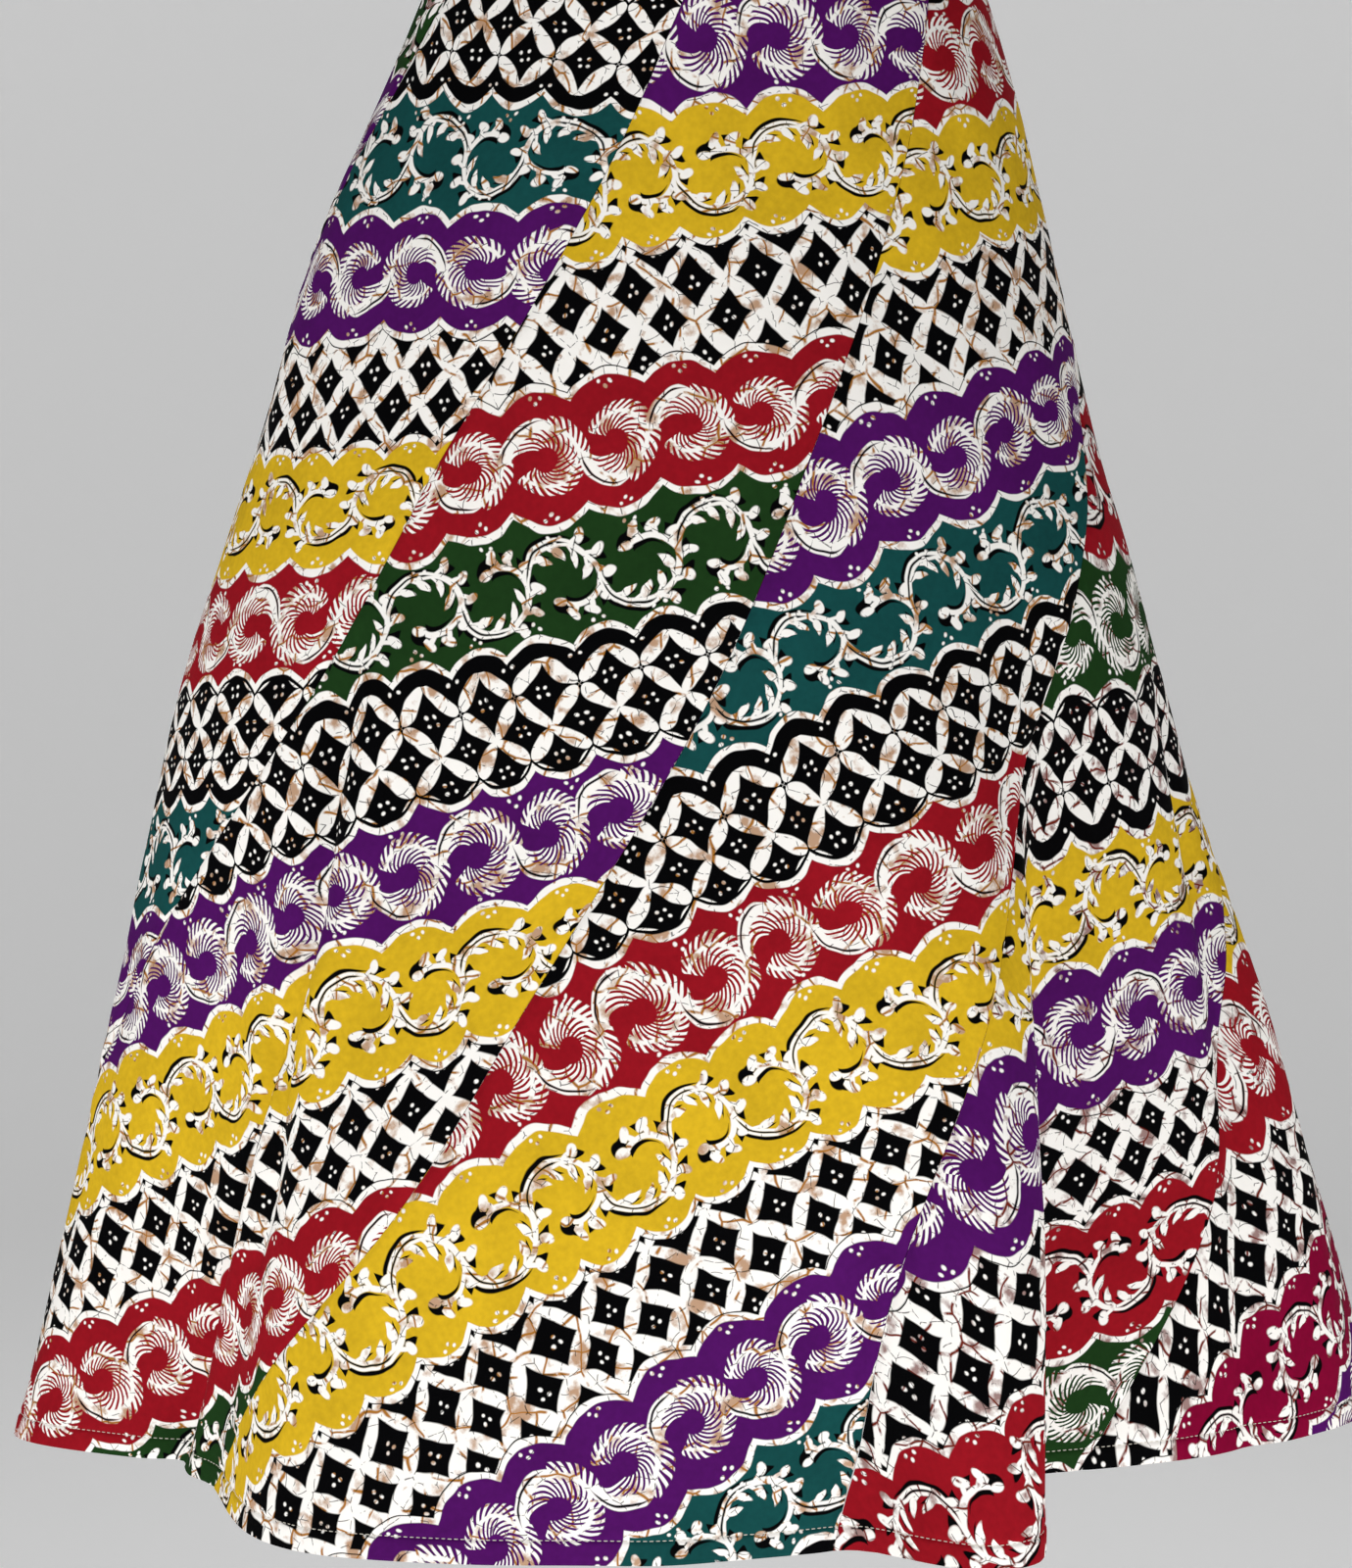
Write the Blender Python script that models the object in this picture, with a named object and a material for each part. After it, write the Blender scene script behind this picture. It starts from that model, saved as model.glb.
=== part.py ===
"""A long batik skirt of six spiral gores, hanging filled out and hollow from its waistband.

Metres, +Z up, front towards -Y, the wearer's left hand on +X. The origin is the middle of the waist
opening, half way up the waistband. Azimuths are in degrees round +Z, from 0 at the front to 90 at +X.
"""

import bpy
import numpy as np

GARMENT = "batik_skirt"

# The cut
GORES = 6
SKIRT_LENGTH = 0.905
WAISTBAND_HEIGHT = 0.040
HEM_TURN = 0.012

# The cloth walls
WALL = 0.0015
HEM_WALL = 0.0026
WAISTBAND_WALL = 0.0026
WAISTBAND_PROUD = 0.0006
SEAM_GAP = 0.0003

WAIST_TOP = WAISTBAND_HEIGHT / 2
WAIST_SEAM = -WAISTBAND_HEIGHT / 2
HEM = WAIST_TOP - SKIRT_LENGTH

# The grid of each piece
COLUMNS = 16
ROWS = 25
HEM_STEP = 0.0006
BAND_ROWS = 3
GIRTH_STEPS = 1440
TURN_PROBE = 0.25
DROP_PROBE = 0.002
EDGE_ANGLE = 50


def table(columns, *rows):
    """A table as one array for each named column, from rows written out one below the other."""
    return dict(zip(columns.split(), np.array(rows, float).T))


# The filled-out body of the skirt, ring by ring from the waist to the hem
SECTIONS = table(
    "height half_width half_depth sway back_shift",
    (WAIST_SEAM, 0.129, 0.101, 0.000, 0.000),
    (-0.075, 0.154, 0.119, -0.002, 0.004),
    (-0.130, 0.175, 0.129, -0.005, 0.008),
    (-0.200, 0.200, 0.141, -0.013, 0.010),
    (-0.320, 0.233, 0.160, -0.017, 0.010),
    (-0.460, 0.278, 0.180, -0.018, 0.008),
    (-0.620, 0.318, 0.205, -0.014, 0.004),
    (HEM, 0.380, 0.240, -0.016, 0.000),
)

# The crests and valleys of the large folds, once round the skirt from the back: where each starts and
# where it meets the hem, how far it stands out (or in) at the hem, and the height where it starts
FOLDS = table(
    "start_azimuth hem_azimuth offset start_height",
    (-150, -152, -0.045, -0.40),
    (-118, -122, 0.022, -0.42),
    (-92, -91, 0.002, -0.45),
    (-66, -76, -0.080, -0.42),
    (-42, -36, 0.028, -0.50),
    (-6, -6, 0.018, -0.50),
    (18, 21, -0.002, -0.62),
    (44, 31, 0.048, -0.40),
    (62, 62, -0.130, -0.36),
    (104, 117, 0.090, -0.50),
    (142, 147, -0.045, -0.38),
    (174, 176, 0.038, -0.45),
)
FOLD_ONSET = 1.5

# How far each gore's first seam has turned round the skirt at each height, as degrees of the whole
# girth counted from an even sixth
SPIRAL = table(
    "height gore_1 gore_2 gore_3 gore_4 gore_5 gore_6",
    (WAIST_SEAM, 68, 69, 67, 66, 67, 68),
    (-0.090, 53, 56, 52, 50, 51, 52),
    (-0.200, 40, 43, 38, 36, 35, 38),
    (-0.330, 19, 24, 20, 14, 13, 17),
    (-0.450, 4, 10, 5, -4, -8, -1),
    (-0.600, -20, -17, -16, -24, -31, -25),
    (-0.740, -33, -32, -31, -39, -40, -37),
    (HEM, -49, -47, -53, -47, -55, -50),
)

# The gore whose first seam lies at the front when its turn is nothing
FRONT_GORE = 3

# The elastic's gathers in the back of the waistband
GATHERS = 26
GATHER_DEPTH = 0.0022
GATHER_UNEVENNESS = 0.35
UNEVEN_RUNS = 3
PLAIN_GATHERS = 2
STEPS_PER_GATHER = 7
FRONT_BAND_COLUMNS = 40

CLOTH_ROUGHNESS = 0.85
CLOTH_COLOURS = {
    "gore_1": (0.030, 0.150, 0.140),
    "gore_2": (0.450, 0.030, 0.050),
    "gore_3": (0.560, 0.430, 0.020),
    "gore_4": (0.090, 0.012, 0.160),
    "gore_5": (0.030, 0.110, 0.040),
    "gore_6": (0.350, 0.010, 0.090),
    "waistband_front": (0.020, 0.020, 0.022),
    "waistband_back": (0.030, 0.030, 0.032),
}


def eased(rows_of, column, height):
    """A column of a table at any height, as a smooth curve through its rows."""
    rows = rows_of["height"][::-1]
    values = rows_of[column][::-1]
    slopes = np.gradient(values, rows)
    height = np.clip(height, rows[0], rows[-1])
    at = np.clip(np.searchsorted(rows, height) - 1, 0, len(rows) - 2)
    step = rows[at + 1] - rows[at]
    t = (height - rows[at]) / step
    return (
        (1 + 2 * t) * (1 - t) ** 2 * values[at]
        + t * (1 - t) ** 2 * step * slopes[at]
        + t * t * (3 - 2 * t) * values[at + 1]
        - t * t * (1 - t) * step * slopes[at + 1]
    )


def fold_offset(azimuth, height):
    """How far the folds push the cloth out: half a cosine wave between each crest and the next valley."""
    start = FOLDS["start_height"]
    grown = np.clip((start - height) / (start - HEM), 0, 1)
    stands = FOLDS["offset"] * grown**FOLD_ONSET * (FOLD_ONSET + (1 - FOLD_ONSET) * grown)
    centre = FOLDS["start_azimuth"] * (1 - grown) + FOLDS["hem_azimuth"] * grown
    centre = np.concatenate([centre, centre[:1] + 360])
    stands = np.concatenate([stands, stands[:1]])
    turned = (azimuth - centre[0]) % 360 + centre[0]
    at = np.clip(np.searchsorted(centre, turned, side="right") - 1, 0, len(centre) - 2)
    t = (turned - centre[at]) / (centre[at + 1] - centre[at])
    eased_t = (1 - np.cos(np.pi * t)) / 2
    return stands[at] + (stands[at + 1] - stands[at]) * eased_t


def ring_points(azimuth, height):
    """The points of the skirt's outside at these azimuths on the ring at one height."""
    angle = np.radians(azimuth)
    width = eased(SECTIONS, "half_width", height)
    depth = eased(SECTIONS, "half_depth", height)
    radius = 1 / np.hypot(np.sin(angle) / width, np.cos(angle) / depth)
    radius = radius + fold_offset(azimuth, height)
    x = eased(SECTIONS, "sway", height) + radius * np.sin(angle)
    y = eased(SECTIONS, "back_shift", height) - radius * np.cos(angle)
    return np.stack([x, y, np.full_like(x, height)], axis=-1)


def outward(azimuth, height):
    """Unit normals of the skirt's outside, across the ring's own direction and the way down the cloth."""
    across = ring_points(azimuth + TURN_PROBE, height) - ring_points(azimuth - TURN_PROBE, height)
    down = ring_points(azimuth, height - DROP_PROBE) - ring_points(azimuth, height + DROP_PROBE)
    normal = np.cross(down, across)
    return normal / np.linalg.norm(normal, axis=-1, keepdims=True)


def seam_girth(number, height):
    """Where a gore's first seam lies, as a share of the girth counted from the front towards +X."""
    whole_turns, gore = divmod(number - 1, GORES)
    turn = eased(SPIRAL, f"gore_{gore + 1}", height)
    return turn / 360 + (gore + 1 - FRONT_GORE) / GORES + whole_turns


def gore_azimuths(number, height):
    """Azimuths evenly spaced along the ring's girth, from one of the gore's seam gaps to the other."""
    round_skirt = np.linspace(-180, 180, GIRTH_STEPS + 1)
    steps = np.linalg.norm(np.diff(ring_points(round_skirt, height), axis=0), axis=1)
    along = np.concatenate([[0], np.cumsum(steps)])
    girth = along[-1]
    front = np.interp(0, round_skirt, along)
    first = front + girth * seam_girth(number, height)
    last = front + girth * seam_girth(number + 1, height)
    wanted = np.linspace(first + SEAM_GAP / 2, last - SEAM_GAP / 2, COLUMNS + 1)
    turns = np.floor(wanted / girth)
    return np.interp(wanted - turns * girth, along, round_skirt) + 360 * turns


def gore_heights():
    """The heights of a gore's rows, from under the waist seam to the hem, with a step at the turned edge."""
    turned_edge = HEM + HEM_TURN
    plain = np.linspace(WAIST_SEAM - SEAM_GAP, turned_edge + HEM_STEP, ROWS)
    return np.concatenate([plain, [turned_edge, HEM]])


def rim_faces(edge, count):
    """The strip of triangles round a sheet's edge, from its outside to its inside.

    Each slants from the earlier outside corner to the later inside one, so that two sheets that meet
    along a twisted seam are cut along the same lines and keep their gap.
    """
    here, after = edge, np.roll(edge, -1)
    forward = here < after
    first = np.stack([after, after + count, np.where(forward, here, here + count)], axis=-1)
    second = np.stack([np.where(forward, after + count, after), here + count, here], axis=-1)
    return np.concatenate([first, second])


def cloth(name, outside, normals, walls):
    """A closed sheet of cloth: a grid of points on its outside and the same grid pushed in by the wall.

    Columns run towards +azimuth and rows run down, so the outside's quads face out as they are, the
    inside's are turned round, and a strip of quads round the edge joins the two.
    """
    rows, columns = outside.shape[:2]
    inside = outside - normals * np.asarray(walls)[:, None, None]
    corner = np.arange(rows * columns).reshape(rows, columns)
    quads = np.stack([corner[:-1, :-1], corner[1:, :-1], corner[1:, 1:], corner[:-1, 1:]], axis=-1)
    quads = quads.reshape(-1, 4)
    edge = np.concatenate([corner[0, :-1], corner[:-1, -1], corner[-1, :0:-1], corner[:0:-1, 0]])
    count = rows * columns
    faces = quads.tolist() + (quads[:, ::-1] + count).tolist() + rim_faces(edge, count).tolist()
    mesh = bpy.data.meshes.new(name)
    mesh.from_pydata(np.concatenate([outside, inside]).reshape(-1, 3).tolist(), [], faces)
    mesh.shade_smooth()
    mesh.set_sharp_from_angle(angle=np.radians(EDGE_ANGLE))
    mesh.materials.append(cloth_material(name))
    piece = bpy.data.objects.new(name, mesh)
    bpy.data.collections[GARMENT].objects.link(piece)
    return piece


def cloth_material(name):
    material = bpy.data.materials.new(name)
    material.use_nodes = True
    shader = material.node_tree.nodes["Principled BSDF"]
    shader.inputs["Base Color"].default_value = (*CLOTH_COLOURS[name], 1)
    shader.inputs["Roughness"].default_value = CLOTH_ROUGHNESS
    shader.inputs["Metallic"].default_value = 0.0
    material.diffuse_color = (*CLOTH_COLOURS[name], 1)
    return material


def make_gore(number):
    """One spiral gore, with its wall doubled where the hem is turned up inside."""
    heights = gore_heights()
    azimuths = [gore_azimuths(number, height) for height in heights]
    outside = np.stack([ring_points(row, height) for row, height in zip(azimuths, heights)])
    normals = np.stack([outward(row, height) for row, height in zip(azimuths, heights)])
    walls = np.full(len(heights), WALL)
    walls[-2:] = HEM_WALL
    cloth(f"gore_{number}", outside, normals, walls)


def make_waistband(name, azimuth, inset):
    """A length of the waistband, standing straight up from the waist seam and drawn in by each inset."""
    ring = ring_points(azimuth, WAIST_SEAM)
    angle = np.radians(azimuth)
    normal = np.stack([np.sin(angle), -np.cos(angle), np.zeros_like(angle)], axis=-1)
    ring = ring + normal * (WAISTBAND_PROUD - inset)[:, None]
    lift = np.array([0, 0, WAISTBAND_HEIGHT / (BAND_ROWS - 1)])
    outside = np.stack([ring + lift * row for row in range(BAND_ROWS - 1, -1, -1)])
    normals = np.broadcast_to(normal, outside.shape)
    cloth(name, outside, normals, np.full(BAND_ROWS, WAISTBAND_WALL))


def side_seam_gap():
    """Half of a seam gap as degrees, where the front and the back of the band meet at the sides."""
    return np.degrees(SEAM_GAP / 2 / SECTIONS["half_width"][0])


def make_waistband_front():
    half_gap = side_seam_gap()
    azimuth = np.linspace(-90 + half_gap, 90 - half_gap, FRONT_BAND_COLUMNS + 1)
    make_waistband("waistband_front", azimuth, np.zeros(len(azimuth)))


def make_waistband_back():
    """The back of the band, with its gathers uneven in width and dying out at the side seams."""
    half_gap = side_seam_gap()
    along = np.linspace(0, 1, GATHERS * STEPS_PER_GATHER + 1)
    azimuth = 90 + half_gap + along * (180 - 2 * half_gap)
    phase = GATHERS * along + GATHER_UNEVENNESS * np.sin(2 * np.pi * UNEVEN_RUNS * along)
    fade = np.clip(np.minimum(along, 1 - along) * GATHERS / PLAIN_GATHERS, 0, 1)
    inset = GATHER_DEPTH * fade * (1 - np.cos(2 * np.pi * phase)) / 2
    make_waistband("waistband_back", azimuth, inset)


def clear_scene():
    for thing in list(bpy.data.objects):
        bpy.data.objects.remove(thing, do_unlink=True)


clear_scene()
bpy.context.scene.collection.children.link(bpy.data.collections.new(GARMENT))
for gore_number in range(1, GORES + 1):
    make_gore(gore_number)
make_waistband_front()
make_waistband_back()
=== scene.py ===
# %% [markdown]
# # A batik skirt
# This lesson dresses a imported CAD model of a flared, six-gore batik skirt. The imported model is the
# frame: it says where each gore and the waistband are. Each gore is rebuilt here as a thin sheet of
# cloth on the same form, with creases, seams, a stitched hem and the wax-resist drawing of the cloth.

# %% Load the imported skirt
import bpy
import numpy as np
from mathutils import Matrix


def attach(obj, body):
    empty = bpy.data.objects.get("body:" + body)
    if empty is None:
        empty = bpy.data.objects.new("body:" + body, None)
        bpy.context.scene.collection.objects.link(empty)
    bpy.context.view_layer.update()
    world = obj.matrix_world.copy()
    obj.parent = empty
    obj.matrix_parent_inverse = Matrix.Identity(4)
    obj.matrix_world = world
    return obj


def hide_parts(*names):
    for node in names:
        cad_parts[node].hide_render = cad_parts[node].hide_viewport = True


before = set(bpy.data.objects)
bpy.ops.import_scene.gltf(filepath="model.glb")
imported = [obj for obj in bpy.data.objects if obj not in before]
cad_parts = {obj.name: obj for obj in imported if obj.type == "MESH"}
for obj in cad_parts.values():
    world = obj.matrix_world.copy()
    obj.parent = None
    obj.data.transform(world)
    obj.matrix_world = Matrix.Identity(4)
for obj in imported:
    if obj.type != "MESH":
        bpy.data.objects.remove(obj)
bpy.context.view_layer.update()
BODY = "root"
print("CAD nodes:", ", ".join(sorted(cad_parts)))

# %% [markdown]
# ## Camera
# The skirt is seen from the front, a little above its middle, from about two metres away. A camera
# could be aimed with a constraint, but plain numbers keep the view the same on each run. The top of
# the picture cuts the skirt just under its waist, as in a close-up of a worn garment.

# %% Camera
CAMERA_PLACE = (-0.018, -2.1, -0.33)
CAMERA_LOOKS_DOWN = 5
LENS = 57.5
SENSOR = 24

lens = bpy.data.cameras.new("camera")
lens.sensor_width = SENSOR
lens.lens = LENS
camera = bpy.data.objects.new("camera", lens)
camera.location = CAMERA_PLACE
camera.rotation_euler = (np.radians(90 - CAMERA_LOOKS_DOWN), 0, 0)
bpy.context.scene.collection.objects.link(camera)
bpy.context.scene.camera = camera
print("camera", CAMERA_PLACE, "lens", LENS)

# %% [markdown]
# ## The form of the skirt
# A worn skirt is a ring of cloth at every height: an oval round the body that grows towards the hem,
# with large folds that start at the thigh and widen down to the hem. Cloth simulation could find
# such a form, but a table of rings gives exactly the form of the frame. These are the sizes and the
# tables that the frame was cut from.

# %% Sizes of the skirt
GORES = 6
SKIRT_LENGTH = 0.905
WAISTBAND_HEIGHT = 0.040
HEM_TURN = 0.012
SEAM_GAP = 0.0003
WAIST_SEAM = -WAISTBAND_HEIGHT / 2
HEM = WAISTBAND_HEIGHT / 2 - SKIRT_LENGTH


def table(columns, *rows):
    """A table as columns by name."""
    return dict(zip(columns.split(), np.array(rows, float).T))


SECTIONS = table(
    "height half_width half_depth sway back_shift",
    (WAIST_SEAM, 0.129, 0.101, 0.000, 0.000),
    (-0.075, 0.154, 0.119, -0.002, 0.004),
    (-0.130, 0.175, 0.129, -0.005, 0.008),
    (-0.200, 0.200, 0.141, -0.013, 0.010),
    (-0.320, 0.233, 0.160, -0.017, 0.010),
    (-0.460, 0.278, 0.180, -0.018, 0.008),
    (-0.620, 0.318, 0.205, -0.014, 0.004),
    (HEM, 0.380, 0.240, -0.016, 0.000),
)
FOLDS = table(
    "start_azimuth hem_azimuth offset start_height",
    (-150, -152, -0.045, -0.40),
    (-118, -122, 0.022, -0.42),
    (-92, -91, 0.002, -0.45),
    (-66, -76, -0.080, -0.42),
    (-42, -36, 0.028, -0.50),
    (-6, -6, 0.018, -0.50),
    (18, 21, -0.002, -0.62),
    (44, 31, 0.048, -0.40),
    (62, 62, -0.130, -0.36),
    (104, 117, 0.090, -0.50),
    (142, 147, -0.045, -0.38),
    (174, 176, 0.038, -0.45),
)
FOLD_ONSET = 1.5
print("skirt length", SKIRT_LENGTH, "m, with", len(FOLDS["offset"]), "crests and valleys")

# %% Any height of a table, and the folds


def eased(rows_of, column, height):
    """A column at any height: cubic curves through the rows, each row's slope taken from its neighbours."""
    rows = rows_of["height"][::-1]
    values = rows_of[column][::-1]
    slopes = np.gradient(values, rows)
    height = np.clip(height, rows[0], rows[-1])
    at = np.clip(np.searchsorted(rows, height) - 1, 0, len(rows) - 2)
    step = rows[at + 1] - rows[at]
    t = (height - rows[at]) / step
    return (
        (1 + 2 * t) * (1 - t) ** 2 * values[at]
        + t * (1 - t) ** 2 * step * slopes[at]
        + t * t * (3 - 2 * t) * values[at + 1]
        - t * t * (1 - t) * step * slopes[at + 1]
    )


def fold_offset(azimuth, height):
    """How far the folds push the cloth out: half a cosine wave between each crest and the next valley."""
    start = FOLDS["start_height"]
    grown = np.clip((start - height[..., None]) / (start - HEM), 0, 1)
    stands = FOLDS["offset"] * grown**FOLD_ONSET * (FOLD_ONSET + (1 - FOLD_ONSET) * grown)
    centre = FOLDS["start_azimuth"] * (1 - grown) + FOLDS["hem_azimuth"] * grown
    centre = np.concatenate([centre, centre[..., :1] + 360], axis=-1)
    stands = np.concatenate([stands, stands[..., :1]], axis=-1)
    turned = (azimuth[..., None] - centre[..., :1]) % 360 + centre[..., :1]
    at = np.clip((turned >= centre).sum(axis=-1, keepdims=True) - 1, 0, len(FOLDS["offset"]) - 1)
    first, last = np.take_along_axis(centre, at, -1), np.take_along_axis(centre, at + 1, -1)
    low, high = np.take_along_axis(stands, at, -1), np.take_along_axis(stands, at + 1, -1)
    eased_t = (1 - np.cos(np.pi * (turned - first) / (last - first))) / 2
    return (low + (high - low) * eased_t)[..., 0]


def ring_points(azimuth, height):
    """Points on the rings: an oval's radius at each azimuth, plus the folds, about the ring's own middle."""
    azimuth, height = np.broadcast_arrays(azimuth, height)
    angle = np.radians(azimuth)
    across, deep = np.sin(angle), np.cos(angle)
    width, depth = eased(SECTIONS, "half_width", height), eased(SECTIONS, "half_depth", height)
    radius = 1 / np.hypot(across / width, deep / depth) + fold_offset(azimuth, height)
    x = eased(SECTIONS, "sway", height) + radius * across
    y = eased(SECTIONS, "back_shift", height) - radius * deep
    return np.stack([x, y, height], axis=-1)


hem_ring = ring_points(np.linspace(-180, 180, 721), HEM)
print("hem girth", round(float(np.linalg.norm(np.diff(hem_ring, axis=0), axis=1).sum()), 3), "m")

# %% [markdown]
# ## Where the gores meet
# The six gores wind round the body, so each seam starts well to one side at the waist and ends on
# the other side at the hem. The table says how far each gore's first seam has turned at each height.
# Columns of a gore are spaced by the girth between its two seams, with a few close to each edge to
# round the seam.

# %% Seams of the gores
SPIRAL = table(
    "height gore_1 gore_2 gore_3 gore_4 gore_5 gore_6",
    (WAIST_SEAM, 68, 69, 67, 66, 67, 68),
    (-0.090, 53, 56, 52, 50, 51, 52),
    (-0.200, 40, 43, 38, 36, 35, 38),
    (-0.330, 19, 24, 20, 14, 13, 17),
    (-0.450, 4, 10, 5, -4, -8, -1),
    (-0.600, -20, -17, -16, -24, -31, -25),
    (-0.740, -33, -32, -31, -39, -40, -37),
    (HEM, -49, -47, -53, -47, -55, -50),
)
FRONT_GORE = 3
GIRTH_STEPS = 1440
COLUMNS = 64
EDGE_COLUMNS = np.array([0, 0.0010, 0.0022, 0.0040, 0.0070, 0.0110])


def seam_girth(number, height):
    """Where a gore's first seam lies, as a share of the girth counted from the front towards +X."""
    whole_turns, gore = divmod(number - 1, GORES)
    turn = eased(SPIRAL, f"gore_{gore + 1}", height)
    return turn / 360 + (gore + 1 - FRONT_GORE) / GORES + whole_turns


def gore_azimuths(number, heights):
    """(azimuths, distance to the nearer seam) of a gore's columns on each of its rows."""
    round_skirt = np.linspace(-180, 180, GIRTH_STEPS + 1)
    rings = ring_points(round_skirt, heights[:, None])
    steps = np.linalg.norm(np.diff(rings, axis=1), axis=2)
    along = np.concatenate([np.zeros((len(heights), 1)), np.cumsum(steps, axis=1)], axis=1)
    girth = along[:, -1:]
    front = along[:, GIRTH_STEPS // 2, None]
    first = front + girth * seam_girth(number, heights)[:, None] + SEAM_GAP / 2
    last = front + girth * seam_girth(number + 1, heights)[:, None] - SEAM_GAP / 2
    middle = np.linspace(0, 1, COLUMNS + 1)
    inner = first + EDGE_COLUMNS[-1] * 2 + (last - first - EDGE_COLUMNS[-1] * 4) * middle
    wanted = np.concatenate([first + EDGE_COLUMNS, inner, last - EDGE_COLUMNS[::-1]], axis=1)
    turns = np.floor(wanted / girth)
    found = [np.interp(row, ring, round_skirt) for row, ring in zip(wanted - turns * girth, along)]
    return np.stack(found) + 360 * turns, np.minimum(wanted - first, last - wanted)


print("columns across a gore:", COLUMNS + 1 + 2 * len(EDGE_COLUMNS))

# %% [markdown]
# ## Creases
# Real cotton isn't a smooth cone. Soft troughs and ridges run down from the waist, sharper ones
# break the large folds, and the cloth is a little uneven everywhere. They could be sculpted, but a
# short table of lines can be read and changed. A plus depth is a ridge and a minus
# depth is a trough. A line that ends under the hem runs out through the hem.

# %% Table of creases
CREASES = table(
    "from_azimuth from_height to_azimuth to_height width depth",
    # The front, as it falls
    (86, -0.42, 84, -0.97, 0.010, -0.0085),
    (94, -0.44, 93, -0.97, 0.016, 0.0050),
    (-50.5, -0.42, -56, -0.76, 0.008, -0.0085),
    (-46, -0.42, -50, -0.76, 0.012, 0.0045),
    (-52, -0.56, -84, -0.97, 0.009, -0.0115),
    (-46.5, -0.56, -78, -0.97, 0.013, 0.0065),
    (56, -0.44, 33, -0.93, 0.012, 0.0045),
    (66, -0.42, 47, -0.95, 0.018, -0.0040),
    (18, -0.74, 21, -0.98, 0.012, -0.0045),
    (-22, -0.60, -20, -0.97, 0.022, 0.0030),
    (4, -0.66, 5, -0.98, 0.020, -0.0030),
    (-84, -0.50, -92, -0.95, 0.018, -0.0045),
    (-20, -0.05, -27, -0.30, 0.014, -0.0014),
    (11, -0.05, 7, -0.26, 0.012, -0.0012),
    (38, -0.05, 47, -0.31, 0.014, -0.0016),
    (-50, -0.05, -60, -0.33, 0.015, -0.0017),
    (62, -0.12, 74, -0.40, 0.018, 0.0020),
    (-75, -0.10, -80, -0.42, 0.018, 0.0018),
    # The back
    (-104, -0.34, -110, -0.93, 0.020, -0.0055),
    (-134, -0.26, -140, -0.95, 0.018, 0.0050),
    (-164, -0.30, -160, -0.95, 0.022, -0.0055),
    (166, -0.25, 168, -0.95, 0.018, 0.0050),
    (134, -0.30, 131, -0.95, 0.020, -0.0050),
    (112, -0.28, 106, -0.92, 0.016, 0.0045),
    (150, -0.06, 154, -0.36, 0.013, -0.0022),
    (-150, -0.06, -147, -0.38, 0.014, -0.0020),
    (-178, -0.06, -179, -0.30, 0.012, -0.0018),
    (122, -0.06, 118, -0.33, 0.013, -0.0018),
    (-120, -0.06, -123, -0.36, 0.014, -0.0018),
)
CREASE_FADE = 0.6
UNEVEN = table(
    "turns_round waves_down slant height",
    (7, 4.0, 0.3, 0.00035),
    (11, 6.5, 1.9, 0.00028),
    (17, 9.0, 4.1, 0.00020),
    (29, 13.0, 2.6, 0.00012),
)
print(len(CREASES["depth"]), "creases")

# %% Depth of the creases


def crease_depth(azimuth, height, radius):
    """A soft bell across each line, as wide as the table says, times half a sine along the line."""
    depth = np.zeros(azimuth.shape)
    for line in zip(*CREASES.values()):
        from_azimuth, from_height, to_azimuth, to_height, width, deep = line
        t = np.clip((from_height - height) / (from_height - to_height), 0, 1)
        centre = from_azimuth + (to_azimuth - from_azimuth) * t
        aside = np.radians((azimuth - centre + 180) % 360 - 180) * radius
        depth += deep * np.sin(np.pi * t) ** CREASE_FADE * np.exp(-((aside / width) ** 2))
    return depth


def uneven_depth(azimuth, height):
    """A few slanting waves of different lengths, round and down the skirt."""
    depth = np.zeros(azimuth.shape)
    for turns_round, waves_down, slant, tall in zip(*UNEVEN.values()):
        phase = turns_round * np.radians(azimuth) + waves_down * 2 * np.pi * height + slant
        depth += tall * np.sin(phase) * np.cos(phase * 0.37 + 2 * slant)
    return depth


print("deepest crease", 1000 * float(abs(CREASES["depth"]).max()), "mm")

# %% [markdown]
# ## Gathers and seams
# Elastic in the back of the waistband draws the tops of the back gores into small gathers that die
# out over a few centimetres. At each seam the two edges roll in a little and pucker. Both are waves
# added along the cloth's normal: the gathers go by the azimuth, so that neighbours agree.

# %% Gathers and puckers
GATHERS = 26
GATHER_DEPTH = 0.0022
GATHER_UNEVENNESS = 0.35
UNEVEN_RUNS = 3
PLAIN_GATHERS = 2
GATHER_DROP = 0.055
SEAM_ROLL = 0.0011
SEAM_ROLL_WIDTH = 0.0024
PUCKER = 0.0007
PUCKER_REACH = 0.010
PUCKERS_PER_METRE = 46
PUCKER_FREE = 0.002
HEM_PUCKER = 0.0006
HEM_PUCKER_REACH = 0.009
HEM_DIP, HEM_DIP_WIDTH = 0.0009, 0.0011
HEM_PROUD = 0.0005


def gather_inset(azimuth):
    """How far the gathers draw the back in: uneven cosine waves that fade out at both side seams."""
    along = np.clip(((azimuth % 360) - 90) / 180, 0, 1)
    phase = GATHERS * along + GATHER_UNEVENNESS * np.sin(2 * np.pi * UNEVEN_RUNS * along)
    fade = np.clip(np.minimum(along, 1 - along) * GATHERS / PLAIN_GATHERS, 0, 1)
    return GATHER_DEPTH * fade * (1 - np.cos(2 * np.pi * phase)) / 2


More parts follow.
